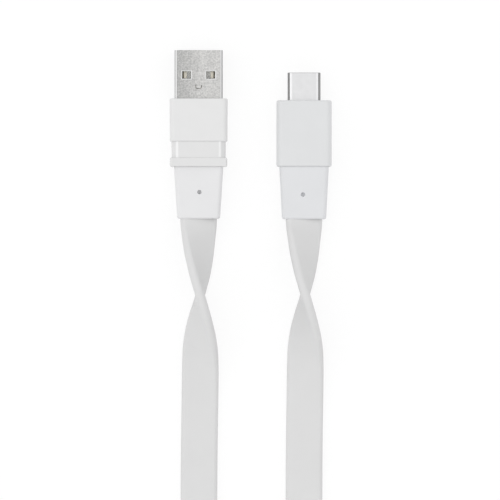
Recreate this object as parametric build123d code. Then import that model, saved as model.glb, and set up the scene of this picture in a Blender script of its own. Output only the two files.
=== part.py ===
from build123d import *
import math
import os

# Charging cable with a USB-A plug and a USB-C plug on one flat ribbon cord, lying on a table.
# Millimetres. +Y runs out of both plugs' mouths, +X from the A plug to the C plug, +Z up off the table.
# The origin is on the table, under the middle of the two plugs' common box.

# Where the plugs lie
PLUG_SPACING = 26.35          # between the two plugs' axes
TAIL_OFFSET = 0.1             # the A plug's boot ends this much ahead of the C plug's

# USB-A plug: metal shell
A_SHELL_W = 12.0
A_SHELL_H = 4.5
A_SHELL_WALL = 0.3
A_SHELL_EXPOSED = 12.1
A_SHELL_HIDDEN = 6.6
A_SHELL_CORNER = 0.6
A_WINDOW_W = 2.4
A_WINDOW_L = 1.9
A_WINDOW_X = 3.0
A_WINDOW_FROM_TIP = 6.2
A_TAB_W = 1.5
A_TAB_L = 1.2
A_TAB_FROM_TIP = 9.15
A_TAB_SLIT = 0.2
A_SEAM = 0.08

# USB-A plug: inside the shell
A_TONGUE_T = 1.95
A_TONGUE_RECESS = 0.6         # tongue's nose behind the shell's lip
A_CAVITY_DEPTH = 11.4
A_CONTACT_W = 1.0
A_CONTACT_T = 0.3
A_CONTACT_PROUD = 0.12
A_CONTACT_INNER_X = 1.0
A_CONTACT_OUTER_X = 3.5
A_CONTACT_OUTER_START = 1.6   # power contacts reach nearer to the tip, so they mate first
A_CONTACT_INNER_START = 2.6
A_TAIL_L = 3.2                # contact tails behind the shell
FIT = 0.05                    # clearance of a moulding inside its metal shell

# USB-A plug: plastic
A_COVER_W = 14.5
A_COVER_H = 7.6
A_COVER_L = 10.7
A_COVER_SIDE_R = 1.4
COVER_EDGE_R = 0.45
COVER_WALL = 1.3
A_NECK_W = 13.6
A_NECK_H = 6.8
A_NECK_L = 4.05
A_NECK_FLAT_W = 10.4
A_RING_W = 14.26
A_RING_H = 7.4
A_RING_L = 2.25
A_RING_CHAMFER = 0.5
A_BOOT_L = 13.0
A_BOOT_W = 12.3
A_BOOT_H = 6.0
A_BOOT_END_W = 10.85
A_BOOT_END_H = 4.6

# USB-C plug: metal shell
C_SHELL_W = 8.25
C_SHELL_H = 2.4
C_SHELL_WALL = 0.2
C_SHELL_EXPOSED = 6.7
C_SHELL_HIDDEN = 4.0
C_SHELL_LIP_R = 0.15

# USB-C plug: inside the shell
C_INSULATOR_RECESS = 0.25
C_SLOT_W = 6.2
C_SLOT_H = 0.9
C_SLOT_DEPTH = 5.6
C_PIN_COUNT = 12
C_PIN_PITCH = 0.5
C_PIN_W = 0.26
C_PIN_T = 0.15
C_PIN_PROUD = 0.08
C_PIN_START = 1.2
C_TAIL_L = 1.6
C_LATCH_T = 0.25
C_LATCH_H = 0.7
C_LATCH_HOOK = 0.2
C_SPRING_W = 4.6
C_SPRING_L = 2.2
C_SPRING_T = 0.1
C_SPRING_FROM_TIP = 2.0
C_BOARD_W = 8.6
C_BOARD_L = 7.6
C_CAN_W = 10.2
C_CAN_H = 3.2
C_CAN_L = 8.6
C_CAN_WALL = 0.2

# USB-C plug: plastic
C_COVER_W = 13.8
C_COVER_H = 6.6
C_COVER_L = 16.85
C_COVER_SIDE_R = 1.5
C_BOOT_L = 13.1
C_BOOT_W = 12.35
C_BOOT_H = 5.6
C_BOOT_END_W = 11.1
C_BOOT_END_H = 4.4

# Both boots; each pin hole lies this far behind the boot's front face and beside its axis
BOOT_SIDE_R = 1.2
PIN_HOLE_D = 1.0
A_PIN_HOLE = (0.2, 6.35)
C_PIN_HOLE = (-0.3, 6.95)

# Flat ribbon cord
CORD_W = 9.2
CORD_T = 2.45
CORD_STRIPPED = 3.0           # jacket starts this far ahead of the boot
CRIMP_WALL = 0.35
CRIMP_L = 2.6
WIRE_D = 0.95
WIRE_SPREAD = 2.0             # between wires in the ribbon
WIRE_LEAD = 0.6               # straight out of the ribbon
WIRE_TAIL = 1.9               # straight onto the tail or pad
SOLDER_L = 1.5
SOLDER_R = 0.6

# Hank that holds the put-away length, ribbon standing on edge
STRAND_PITCH = 3.4
HANK_HALF_W = 28.65
HANK_TOP_Y = -140.0
HANK_TURN_Y = -172.0          # centre of the hank's upper turns
HANK_RUN = 88.0               # between the centres of its two ends
HANK_SHOULDER_R = 6.0
HANK_FAR_SHOULDER_R = 24.0
TIE_L = 12.0
TIE_T = 1.0
TIE_CORNER_R = 2.0
TIE_TAB_L = 16.0
TIE_TAB_T = 1.0

# What follows from the sizes above
TOTAL_W = A_COVER_W / 2 + PLUG_SPACING + C_COVER_W / 2
A_X = A_COVER_W / 2 - TOTAL_W / 2
C_X = TOTAL_W / 2 - C_COVER_W / 2
A_REAR_L = A_NECK_L + A_RING_L
A_PLUG_L = A_SHELL_EXPOSED + A_COVER_L + A_REAR_L + A_BOOT_L
TOTAL_L = A_PLUG_L + TAIL_OFFSET
A_TIP_Y = TOTAL_L / 2
A_COVER_Y = A_TIP_Y - A_SHELL_EXPOSED
A_NECK_Y = A_COVER_Y - A_COVER_L
A_RING_Y = A_NECK_Y - A_NECK_L
A_BOOT_Y = A_RING_Y - A_RING_L
A_END_Y = A_BOOT_Y - A_BOOT_L
C_END_Y = -TOTAL_L / 2
C_BOOT_Y = C_END_Y + C_BOOT_L
C_COVER_Y = C_BOOT_Y + C_COVER_L
C_TIP_Y = C_COVER_Y + C_SHELL_EXPOSED
A_Z = A_COVER_H / 2
C_Z = C_COVER_H / 2
A_SHELL_END_Y = A_COVER_Y - A_SHELL_HIDDEN
A_TAIL_END_Y = A_SHELL_END_Y - A_TAIL_L
A_TONGUE_Z = A_Z - A_SHELL_H / 2 + A_SHELL_WALL + A_TONGUE_T
A_CORD_Y = A_BOOT_Y + CORD_STRIPPED
C_CORD_Y = C_BOOT_Y + CORD_STRIPPED
C_SHELL_END_Y = C_COVER_Y - C_SHELL_HIDDEN
C_BOARD_T = C_SLOT_H - 2 * C_PIN_PROUD
C_BOARD_END_Y = C_SHELL_END_Y - C_BOARD_L
C_CAN_Y = C_SHELL_END_Y
HANK_Z = TIE_T

# The cord's two runs from the plugs to the hank, as points for tangent arcs
A_ROUTE = [
    (A_X, A_CORD_Y, A_Z),
    (A_X, A_CORD_Y - 18, A_Z),
    (A_X + 0.35, -36, 4.9),
    (A_X + 0.4, -47, 4.9),
    (A_X + 0.42, -61, CORD_T / 2),
    (A_X + 0.1, -78, CORD_T / 2),
    (A_X, -96, CORD_T / 2),
    (A_X, -110, HANK_Z + CORD_W / 2),
    (A_X, -128, HANK_Z + CORD_W / 2),
    (-HANK_HALF_W + CORD_T / 2, -154, HANK_Z + CORD_W / 2),
    (-HANK_HALF_W + CORD_T / 2, -172, HANK_Z + CORD_W / 2),
]
C_ROUTE = [
    (C_X, C_CORD_Y, C_Z),
    (C_X, C_CORD_Y - 16, C_Z),
    (C_X + 0.35, -36, 4.9),
    (C_X + 0.4, -47, 4.9),
    (C_X + 0.42, -61, CORD_T / 2),
    (C_X + 0.1, -78, CORD_T / 2),
    (C_X, -96, CORD_T / 2),
    (C_X, -108, HANK_Z + CORD_W / 2),
    (C_X, -121, HANK_Z + CORD_W / 2),
    (3.2, -137, HANK_Z + CORD_W / 2),
    (-13.8, -144, HANK_Z + CORD_W / 2),
    (-HANK_HALF_W + CORD_T / 2 + STRAND_PITCH, -160, HANK_Z + CORD_W / 2),
]
TWIST_MID_Y = -39.9           # where the ribbon stands on edge in its half turn
TWIST_END_Y = -57.5
EDGE_START_Y = -99.0          # quarter turn that stands the ribbon up for the hank
EDGE_END_Y = -118.0
STATION = 4.0                 # between the ribbon's sections
ARC_SHARE = 0.45              # of the shorter straight run that a bend may take up
REACH = 100.0                 # how far a trimming block goes past the cord


def behind(sketch, x, y, z, length):
    """Run a sketch of the X-Z section back from y, towards -Y."""
    plane = Plane(origin=(x, y, z), x_dir=(1, 0, 0), z_dir=(0, -1, 0))
    return extrude(plane * sketch, amount=length)


def brick(x, y, z, width, length, height):
    """A block centred on x and z that runs back from y."""
    return behind(Rectangle(width, height), x, y, z, length)


def upright(sketch, z, height):
    """Raise a plan sketch from z."""
    return extrude(Pos(0, 0, z) * sketch, amount=height)


def grip(x, y, z, width, height, length, side_r):
    """Moulded cover block: rounded along its sides, eased at both ends."""
    body = behind(RectangleRounded(width, height, side_r), x, y, z, length)
    ends = body.edges().filter_by(GeomType.LINE).filter_by(Axis.Y, reverse=True)
    ends += body.edges().filter_by(GeomType.CIRCLE)
    return fillet(ends, COVER_EDGE_R)


def channel(x, y, z, length):
    """The space that the flat cord fills."""
    return brick(x, y, z, CORD_W, length, CORD_T)


def boot(x, y, z, width, height, end_width, end_height, length, pin_hole):
    """Tapered strain relief with the cord's channel and the core pin's hole."""
    front = Plane(origin=(x, y, z), x_dir=(1, 0, 0), z_dir=(0, -1, 0))
    back = Plane(origin=(x, y - length, z), x_dir=(1, 0, 0), z_dir=(0, -1, 0))
    taper = loft([
        front * RectangleRounded(width, height, BOOT_SIDE_R),
        back * RectangleRounded(end_width, end_height, BOOT_SIDE_R),
    ])
    end_face = taper.faces().sort_by(Axis.Y)[0]
    taper = fillet(end_face.edges(), COVER_EDGE_R)
    aside, back_by = pin_hole
    hole = upright(Pos(x + aside, y - back_by) * Circle(PIN_HOLE_D / 2), z, height)
    return taper - hole - channel(x, y, z, length)


def a_shell():
    """Folded shell of the A plug: four detent windows, a lanced tab and the seam underneath."""
    length = A_SHELL_EXPOSED + A_SHELL_HIDDEN
    inner_w = A_SHELL_W - 2 * A_SHELL_WALL
    inner_h = A_SHELL_H - 2 * A_SHELL_WALL
    outer = behind(RectangleRounded(A_SHELL_W, A_SHELL_H, A_SHELL_CORNER), A_X, A_TIP_Y, A_Z, length)
    inner = RectangleRounded(inner_w, inner_h, A_SHELL_CORNER - A_SHELL_WALL)
    shell = outer - behind(inner, A_X, A_TIP_Y, A_Z, length)
    window = Rectangle(A_WINDOW_W, A_WINDOW_L)
    for side in (-1, 1):
        place = Pos(A_X + side * A_WINDOW_X, A_TIP_Y - A_WINDOW_FROM_TIP)
        shell -= upright(place * window, A_Z - A_SHELL_H, 2 * A_SHELL_H)
    tab_y = A_TIP_Y - A_TAB_FROM_TIP
    tab = Pos(A_X, tab_y) * SlotOverall(A_TAB_W, A_TAB_L)
    core = Pos(A_X, tab_y + A_TAB_SLIT) * SlotOverall(A_TAB_W - 2 * A_TAB_SLIT, A_TAB_L - 2 * A_TAB_SLIT)
    above = Pos(A_X, tab_y + A_TAB_L / 2) * Rectangle(2 * A_TAB_W, A_TAB_L)
    shell -= upright(tab - core - above, A_Z, A_SHELL_H)
    seam = brick(A_X, A_TIP_Y, A_Z - A_SHELL_H / 2, A_SEAM, length, 2 * A_SHELL_WALL)
    return shell - seam


def a_contact_bars():
    """The four contact strips by name, each from its nose to its solder tail."""
    bars = {}
    z = A_TONGUE_Z + A_CONTACT_PROUD - A_CONTACT_T / 2
    places = {
        "vbus": (-A_CONTACT_OUTER_X, A_CONTACT_OUTER_START),
        "dminus": (-A_CONTACT_INNER_X, A_CONTACT_INNER_START),
        "dplus": (A_CONTACT_INNER_X, A_CONTACT_INNER_START),
        "gnd": (A_CONTACT_OUTER_X, A_CONTACT_OUTER_START),
    }
    for name, (offset, start) in places.items():
        y = A_TIP_Y - start
        bar = brick(A_X + offset, y, z, A_CONTACT_W, y - A_TAIL_END_Y, A_CONTACT_T)
        nose = bar.faces().sort_by(Axis.Y)[-1].edges().sort_by(Axis.Z)[-1]
        bars[name] = fillet(nose, A_CONTACT_T / 3)
    return bars


def a_insulator(contacts):
    """The tongue under the contacts, moulded round them."""
    width = A_SHELL_W - 2 * A_SHELL_WALL - 2 * FIT
    y = A_TIP_Y - A_TONGUE_RECESS
    floor_z = A_TONGUE_Z - A_TONGUE_T
    tongue = brick(A_X, y, (floor_z + FIT + A_TONGUE_Z) / 2, width, y - A_SHELL_END_Y, A_TONGUE_T - FIT)
    nose = tongue.faces().sort_by(Axis.Y)[-1].edges().filter_by(Axis.X)
    tongue = chamfer(nose, A_SHELL_WALL)
    keel = tongue.edges().filter_by(Axis.Y).group_by(Axis.Z)[0]
    tongue = fillet(keel, A_SHELL_CORNER - A_SHELL_WALL)
    for bar in contacts.values():
        tongue -= bar
    return tongue


def a_rear_block(contacts):
    """Block that closes the shell behind the mating cavity and holds the contacts down."""
    width = A_SHELL_W - 2 * A_SHELL_WALL - 2 * FIT
    y = A_TIP_Y - A_CAVITY_DEPTH
    top_z = A_Z + A_SHELL_H / 2 - A_SHELL_WALL - FIT
    block = brick(A_X, y, (A_TONGUE_Z + top_z) / 2, width, y - A_SHELL_END_Y, top_z - A_TONGUE_Z)
    block = fillet(block.edges().filter_by(Axis.Y).group_by(Axis.Z)[-1], A_SHELL_CORNER - A_SHELL_WALL)
    for bar in contacts.values():
        block -= bar
    return block


def fillet_radii(points):
    """Radius of the arc at each corner: its share of the shorter run over the half turn's tangent."""
    radii = []
    for before, here, after in zip(points, points[1:], points[2:]):
        run_in = Vector(here) - Vector(before)
        run_out = Vector(after) - Vector(here)
        turn = math.radians(run_in.get_angle(run_out))
        radii.append(ARC_SHARE * min(run_in.length, run_out.length) / math.tan(turn / 2))
    return radii


def wire(start, end):
    """One insulated wire, straight out of the ribbon and straight onto its tail."""
    (x0, y0, z0), (x1, y1, z1) = start, end
    points = [start, (x0, y0 + WIRE_LEAD, z0), (x1, y1 - WIRE_TAIL, z1), end]
    section = Plane(origin=start, x_dir=(1, 0, 0), z_dir=(0, 1, 0)) * Circle(WIRE_D / 2)
    return sweep(section, path=FilletPolyline(points, radius=fillet_radii(points)))


def a_wires():
    """Four wires from the ribbon's stripped end to the contact tails, in the tails' order."""
    offsets = {
        "vbus": -A_CONTACT_OUTER_X,
        "dminus": -A_CONTACT_INNER_X,
        "dplus": A_CONTACT_INNER_X,
        "gnd": A_CONTACT_OUTER_X,
    }
    wires = {}
    tail_z = A_TONGUE_Z + A_CONTACT_PROUD + WIRE_D / 2
    for lane, (name, offset) in enumerate(offsets.items()):
        x = A_X + (lane - 1.5) * WIRE_SPREAD
        wires[name] = wire((x, A_CORD_Y, A_Z), (A_X + offset, A_TAIL_END_Y + SOLDER_L, tail_z))
    return wires


def solder_beads(places, keep_out):
    """Solder fillets over the wires' ends: one rounded bead on each tail."""
    beads = []
    for x, y, z in places:
        bead = Pos(x, y, z) * Sphere(SOLDER_R)
        for piece in keep_out:
            bead -= piece
        beads += bead.solids().sort_by(SortBy.VOLUME)[-1:]
    return Compound(beads)


def crimp_space(x, y, z, length):
    """Space of the crimp collar's outline, which also holds the wires ahead of it."""
    outline = RectangleRounded(CORD_W + 2 * CRIMP_WALL, CORD_T + 2 * CRIMP_WALL, CRIMP_WALL)
    return behind(outline, x, y, z, length)


def crimp_collar(x, y, z):
    """Metal band crimped round the ribbon's end."""
    return crimp_space(x, y, z, CRIMP_L) - channel(x, y, z, CRIMP_L)


def a_rear_collar():
    """Faceted neck and ring band between the grip and the boot."""
    half_w = A_NECK_W / 2
    half_h = A_NECK_H / 2
    flat = A_NECK_FLAT_W / 2
    side = half_h - (half_w - flat)
    outline = make_face(Polyline(
        (-flat, half_h), (flat, half_h), (half_w, side), (half_w, -side),
        (flat, -half_h), (-flat, -half_h), (-half_w, -side), (-half_w, side), close=True))
    neck = behind(outline, A_X, A_NECK_Y, A_Z, A_NECK_L)
    ring = brick(A_X, A_RING_Y, A_Z, A_RING_W, A_RING_L, A_RING_H)
    ring = chamfer(ring.edges().filter_by(Axis.Y), A_RING_CHAMFER)
    ring = chamfer(ring.faces().filter_by(Axis.Y).edges(), A_RING_CHAMFER / 3)
    return neck + ring


def twist_at(y):
    """Turn of the ribbon about its run, in degrees, at a place along the plugs' axis."""
    if y > TWIST_MID_Y:
        start = A_END_Y
        return 90 * max(0, min(1, (start - y) / (start - TWIST_MID_Y)))
    if y > EDGE_START_Y:
        return 90 + 90 * min(1, (TWIST_MID_Y - y) / (TWIST_MID_Y - TWIST_END_Y))
    return 180 + 90 * min(1, (EDGE_START_Y - y) / (EDGE_START_Y - EDGE_END_Y))


def ribbon(name, points):
    """Flat cord along its route, lofted through sections that turn with the ribbon."""
    radii = fillet_radii(points)
    path = FilletPolyline(points, radius=radii)
    count = round(path.length / STATION)
    places = [path @ (index / count) for index in range(count + 1)]
    sections = []
    for index, place in enumerate(places):
        ahead = places[min(index + 1, count)] - places[max(index - 1, 0)]
        level = ahead.cross(Vector(0, 0, 1))
        plane = Plane(origin=place, x_dir=level, z_dir=ahead)
        turn = Rot(0, 0, -twist_at(place.Y))
        sections.append(plane.location * turn * Rectangle(CORD_W, CORD_T))
    solid = loft(sections, ruled=True)
    print(name, "radii", [round(r, 1) for r in radii])
    print(name, "length", round(path.length, 1), "volume", round(solid.volume, 1),
          "section x length", round(CORD_W * CORD_T * path.length, 1))
    return solid


def hank():
    """Closed solid of the wound cord: oblong, squarer where the two runs come in."""
    bottom_y = HANK_TURN_Y - HANK_RUN
    turn = Pos(0, bottom_y) * Circle(HANK_HALF_W)
    body_l = HANK_TOP_Y - bottom_y
    body = Pos(0, HANK_TOP_Y - body_l / 2) * Rectangle(2 * HANK_HALF_W, body_l)
    top = body.vertices().group_by(Axis.Y)[-1].sort_by(Axis.X)
    body = fillet(top[0], HANK_SHOULDER_R)
    far = body.vertices().group_by(Axis.Y)[-1].sort_by(Axis.X)[-1]
    body = fillet(far, HANK_FAR_SHOULDER_R)
    return upright(turn + body, HANK_Z, CORD_W)


def cable_tie():
    """Strap round the hank's waist, lapped on top."""
    y = HANK_TURN_Y - HANK_RUN / 2 + TIE_L / 2
    z = HANK_Z + CORD_W / 2
    width = 2 * HANK_HALF_W
    outer = RectangleRounded(width + 2 * TIE_T, CORD_W + 2 * TIE_T, TIE_CORNER_R)
    strap = behind(outer, 0, y, z, TIE_L) - brick(0, y, z, width, TIE_L, CORD_W)
    lap_z = HANK_Z + CORD_W + TIE_T + TIE_TAB_T / 2
    return strap + brick(0, y, lap_z, TIE_TAB_L, TIE_L, TIE_TAB_T)


def c_shell():
    """Drawn, seamless shell of the C plug with a rounded lip."""
    length = C_SHELL_EXPOSED + C_SHELL_HIDDEN
    outer = behind(SlotOverall(C_SHELL_W, C_SHELL_H), C_X, C_TIP_Y, C_Z, length)
    lip = outer.faces().sort_by(Axis.Y)[-1].edges()
    outer = fillet(lip, C_SHELL_LIP_R)
    hollow = SlotOverall(C_SHELL_W - 2 * C_SHELL_WALL, C_SHELL_H - 2 * C_SHELL_WALL)
    return outer - behind(hollow, C_X, C_TIP_Y, C_Z, length)


def c_pins(side):
    """One row of contact strips, above (1) or below (-1) the slot, tails on the board."""
    y = C_TIP_Y - C_PIN_START
    z = C_Z + side * (C_SLOT_H / 2 - C_PIN_PROUD + C_PIN_T / 2)
    length = y - C_SHELL_END_Y + C_TAIL_L
    pins = []
    for index in range(C_PIN_COUNT):
        x = C_X + (index - (C_PIN_COUNT - 1) / 2) * C_PIN_PITCH
        pins += brick(x, y, z, C_PIN_W, length, C_PIN_T).solids()
    return Compound(pins)


def c_latch():
    """U-shaped side latch: two hooked arms beside the slot and a bridge behind it."""
    y = C_TIP_Y - C_PIN_START
    arm_x = C_SLOT_W / 2 + C_LATCH_T / 2
    bridge_y = C_TIP_Y - C_SLOT_DEPTH - C_LATCH_T
    length = y - bridge_y + C_LATCH_T
    latch = brick(C_X, bridge_y, C_Z, 2 * arm_x + C_LATCH_T, C_LATCH_T, C_LATCH_H)
    for side in (-1, 1):
        latch += brick(C_X + side * arm_x, y, C_Z, C_LATCH_T, length, C_LATCH_H)
        hook_x = C_X + side * (C_SLOT_W / 2 - C_LATCH_HOOK / 2)
        latch += brick(hook_x, y, C_Z, C_LATCH_HOOK, C_LATCH_T, C_LATCH_H)
    return latch


def c_springs():
    """Two flat grounding springs, above and below the slot, just inside the mouth."""
    plates = []
    for side in (-1, 1):
        z = C_Z + side * (C_SHELL_H / 2 - C_SHELL_WALL - C_SPRING_T / 2)
        plate = brick(C_X, C_TIP_Y - C_SPRING_FROM_TIP, z, C_SPRING_W, C_SPRING_L, C_SPRING_T)
        plates += plate.solids()
    return Compound(plates)


def c_insulator(inner_pieces):
    """Moulded core of the C plug with the slot that the socket's tongue enters."""
    width = C_SHELL_W - 2 * C_SHELL_WALL - 2 * FIT
    height = C_SHELL_H - 2 * C_SHELL_WALL - 2 * FIT
    y = C_TIP_Y - C_INSULATOR_RECESS
    core = behind(SlotOverall(width, height), C_X, y, C_Z, y - C_SHELL_END_Y)
    core -= brick(C_X, y, C_Z, C_SLOT_W, C_SLOT_DEPTH - C_INSULATOR_RECESS, C_SLOT_H)
    for piece in inner_pieces:
        core -= piece
    return core


def c_board():
    """Small circuit board between the two rows of tails."""
    return brick(C_X, C_SHELL_END_Y, C_Z, C_BOARD_W, C_BOARD_L, C_BOARD_T)


def c_resistor():
    """Identification resistor on the board's upper face."""
    body_w, body_l, body_h = 1.0, 0.5, 0.35
    z = C_Z + C_BOARD_T / 2 + body_h / 2
    return brick(C_X, C_SHELL_END_Y - C_BOARD_L / 2, z, body_w, body_l, body_h)


def c_can():
    """Folded screening can round the board, open at both ends."""
    outer = RectangleRounded(C_CAN_W, C_CAN_H, 2 * C_CAN_WALL)
    inner = RectangleRounded(C_CAN_W - 2 * C_CAN_WALL, C_CAN_H - 2 * C_CAN_WALL, C_CAN_WALL)
    return behind(outer, C_X, C_CAN_Y, C_Z, C_CAN_L) - behind(inner, C_X, C_CAN_Y, C_Z, C_CAN_L)


def c_wires():
    """Four wires from the ribbon's stripped end to the pads on the board's upper face."""
    names = ("vbus", "dminus", "dplus", "gnd")
    pad_z = C_Z + C_BOARD_T / 2 + WIRE_D / 2
    wires = {}
    for lane, name in enumerate(names):
        x = C_X + (lane - 1.5) * WIRE_SPREAD
        wires[name] = wire((x, C_CORD_Y, C_Z), (x, C_BOARD_END_Y + SOLDER_L, pad_z))
    return wires


def build():
    """All nodes by name."""
    nodes = {}

    a_contacts = a_contact_bars()
    nodes["usb_a_shell"] = a_shell()
    nodes["usb_a_insulator"] = a_insulator(a_contacts)
    nodes["usb_a_rear_block"] = a_rear_block(a_contacts)
    wires_a = a_wires()
    for name, bar in a_contacts.items():
        nodes["usb_a_contact_" + name] = bar
        nodes["usb_a_wire_" + name] = wires_a[name]
    bead_z = A_TONGUE_Z + A_CONTACT_PROUD + SOLDER_R / 2
    bead_y = A_TAIL_END_Y + SOLDER_L
    offsets = (-A_CONTACT_OUTER_X, -A_CONTACT_INNER_X, A_CONTACT_INNER_X, A_CONTACT_OUTER_X)
    keep_out = list(a_contacts.values()) + list(wires_a.values())
    nodes["usb_a_solder_joints"] = solder_beads([(A_X + x, bead_y, bead_z) for x in offsets], keep_out)
    nodes["usb_a_crimp_collar"] = crimp_collar(A_X, A_CORD_Y, A_Z)

    mould_w = A_COVER_W - 2 * COVER_WALL
    mould_h = A_COVER_H - 2 * COVER_WALL
    mould_y = A_COVER_Y - COVER_WALL
    mould = brick(A_X, mould_y, A_Z, mould_w, mould_y - A_CORD_Y + CRIMP_L, mould_h)
    a_outline = RectangleRounded(A_SHELL_W, A_SHELL_H, A_SHELL_CORNER)
    a_shell_solid = behind(a_outline, A_X, A_TIP_Y, A_Z, A_TIP_Y - A_SHELL_END_Y)
    cover = grip(A_X, A_COVER_Y, A_Z, A_COVER_W, A_COVER_H, A_COVER_L, A_COVER_SIDE_R)
    nodes["usb_a_cover"] = cover - mould - a_shell_solid
    collar_hole = channel(A_X, A_CORD_Y, A_Z, A_CORD_Y - A_BOOT_Y)
    nodes["usb_a_rear_collar"] = a_rear_collar() - mould - collar_hole
    mould -= a_shell_solid
    mould -= crimp_space(A_X, A_SHELL_END_Y, A_Z, A_SHELL_END_Y - A_CORD_Y + CRIMP_L)
    nodes["usb_a_inner_mould"] = mould
    nodes["usb_a_strain_relief"] = boot(
        A_X, A_BOOT_Y, A_Z, A_BOOT_W, A_BOOT_H, A_BOOT_END_W, A_BOOT_END_H, A_BOOT_L, A_PIN_HOLE)

    nodes["usb_c_shell"] = c_shell()
    nodes["usb_c_contacts_upper"] = c_pins(1)
    nodes["usb_c_contacts_lower"] = c_pins(-1)
    nodes["usb_c_latch"] = c_latch()
    nodes["usb_c_grounding_springs"] = c_springs()
    core_parts = ("usb_c_contacts_upper", "usb_c_contacts_lower", "usb_c_latch", "usb_c_grounding_springs")
    nodes["usb_c_insulator"] = c_insulator([nodes[name] for name in core_parts])
    nodes["usb_c_board"] = c_board()
    nodes["usb_c_resistor"] = c_resistor()
    nodes["usb_c_shield_can"] = c_can()
    wires_c = c_wires()
    for name, piece in wires_c.items():
        nodes["usb_c_wire_" + name] = piece
    bead_z = C_Z + C_BOARD_T / 2 + SOLDER_R / 3
    bead_y = C_BOARD_END_Y + SOLDER_L
    places = [(C_X + (lane - 1.5) * WIRE_SPREAD, bead_y, bead_z) for lane in range(4)]
    keep_out = [nodes["usb_c_board"]] + list(wires_c.values())
    nodes["usb_c_solder_joints"] = solder_beads(places, keep_out)
    nodes["usb_c_crimp_collar"] = crimp_collar(C_X, C_CORD_Y, C_Z)

    mould_y = C_COVER_Y - COVER_WALL
    mould_w = C_COVER_W - 2 * COVER_WALL
    mould_h = C_COVER_H - 2 * COVER_WALL
    mould = brick(C_X, mould_y, C_Z, mould_w, mould_y - C_CORD_Y + CRIMP_L, mould_h)
    c_shell_solid = behind(SlotOverall(C_SHELL_W, C_SHELL_H), C_X, C_TIP_Y, C_Z, C_TIP_Y - C_SHELL_END_Y)
    cover = grip(C_X, C_COVER_Y, C_Z, C_COVER_W, C_COVER_H, C_COVER_L, C_COVER_SIDE_R)
    c_hole = channel(C_X, C_CORD_Y, C_Z, C_CORD_Y - C_BOOT_Y)
    nodes["usb_c_cover"] = cover - mould - c_shell_solid - c_hole
    mould -= c_shell_solid
    mould -= brick(C_X, C_CAN_Y, C_Z, C_CAN_W, C_CAN_L, C_CAN_H)
    mould -= crimp_space(C_X, C_CAN_Y, C_Z, C_CAN_Y - C_CORD_Y + CRIMP_L)
    nodes["usb_c_inner_mould"] = mould
    nodes["usb_c_strain_relief"] = boot(
        C_X, C_BOOT_Y, C_Z, C_BOOT_W, C_BOOT_H, C_BOOT_END_W, C_BOOT_END_H, C_BOOT_L, C_PIN_HOLE)

    below_top = Pos(0, HANK_TOP_Y - REACH / 2, 0) * Box(2 * REACH, REACH, REACH)
    nodes["cord_a_run"] = ribbon("cord_a_run", A_ROUTE) - below_top
    nodes["cord_c_run"] = ribbon("cord_c_run", C_ROUTE) - below_top
    nodes["cord_hank"] = hank()
    nodes["cable_tie"] = cable_tie()
    return nodes


os.makedirs("parts", exist_ok=True)
for node_name, solid in build().items():
    export_step(solid, os.path.join("parts", node_name + ".step"))
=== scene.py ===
import math

import bpy
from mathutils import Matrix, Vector


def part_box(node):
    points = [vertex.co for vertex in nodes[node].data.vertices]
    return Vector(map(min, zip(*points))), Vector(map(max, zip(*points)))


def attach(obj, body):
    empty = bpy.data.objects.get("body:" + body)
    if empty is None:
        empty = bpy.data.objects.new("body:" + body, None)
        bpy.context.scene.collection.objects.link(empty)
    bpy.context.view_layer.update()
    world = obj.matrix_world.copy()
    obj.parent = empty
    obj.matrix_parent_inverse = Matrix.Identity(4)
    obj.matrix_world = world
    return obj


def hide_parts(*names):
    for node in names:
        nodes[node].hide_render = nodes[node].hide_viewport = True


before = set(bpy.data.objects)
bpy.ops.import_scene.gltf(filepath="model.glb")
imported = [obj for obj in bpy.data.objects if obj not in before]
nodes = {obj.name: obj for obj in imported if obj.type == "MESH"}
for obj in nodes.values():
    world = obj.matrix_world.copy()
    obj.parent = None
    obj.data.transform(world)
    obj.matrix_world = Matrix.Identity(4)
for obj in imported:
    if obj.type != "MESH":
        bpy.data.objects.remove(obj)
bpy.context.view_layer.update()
mm = 0.001


# ---- small helpers for modelling by hand

def clearPick():
    if bpy.context.object and bpy.context.object.mode != "OBJECT":
        bpy.ops.object.mode_set(mode="OBJECT")
    bpy.ops.object.select_all(action="DESELECT")


def takeUp(piece):
    clearPick()
    piece.select_set(True)
    bpy.context.view_layer.objects.active = piece


def addBlock(name, size, place):
    clearPick()
    bpy.ops.mesh.primitive_cube_add(size=1, location=place)
    piece = bpy.context.object
    piece.name = name
    piece.scale = size
    bpy.ops.object.transform_apply(location=True, rotation=False, scale=True)
    return piece


def pick(piece, kind, test):
    # selects the edges or faces that pass the test, by their middle and direction
    takeUp(piece)
    mesh = piece.data
    for group in (mesh.polygons, mesh.edges, mesh.vertices):
        group.foreach_set("select", [False] * len(group))
    bpy.ops.object.mode_set(mode="EDIT")
    bpy.ops.mesh.select_mode(type=kind)
    bpy.ops.object.mode_set(mode="OBJECT")
    for item in (mesh.edges if kind == "EDGE" else mesh.polygons):
        corners = [mesh.vertices[i].co for i in item.vertices]
        middle = sum(corners, Vector()) / len(corners)
        way = (corners[1] - corners[0]).normalized() if kind == "EDGE" else item.normal
        item.select = test(middle, way)
    bpy.ops.object.mode_set(mode="EDIT")


def bevelEdges(piece, test, offset, segments):
    pick(piece, "EDGE", test)
    bpy.ops.mesh.bevel(offset=offset, segments=segments, profile=0.5, affect="EDGES")
    bpy.ops.object.mode_set(mode="OBJECT")


def alongY(middle, way):
    return abs(way.y) > 0.99


def cutWith(piece, cutter, operation="DIFFERENCE"):
    takeUp(piece)
    cut = piece.modifiers.new("cut", "BOOLEAN")
    cut.operation = operation
    cut.solver = "EXACT"
    cut.object = cutter
    bpy.ops.object.modifier_apply(modifier=cut.name)
    bpy.data.objects.remove(cutter, do_unlink=True)


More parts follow.
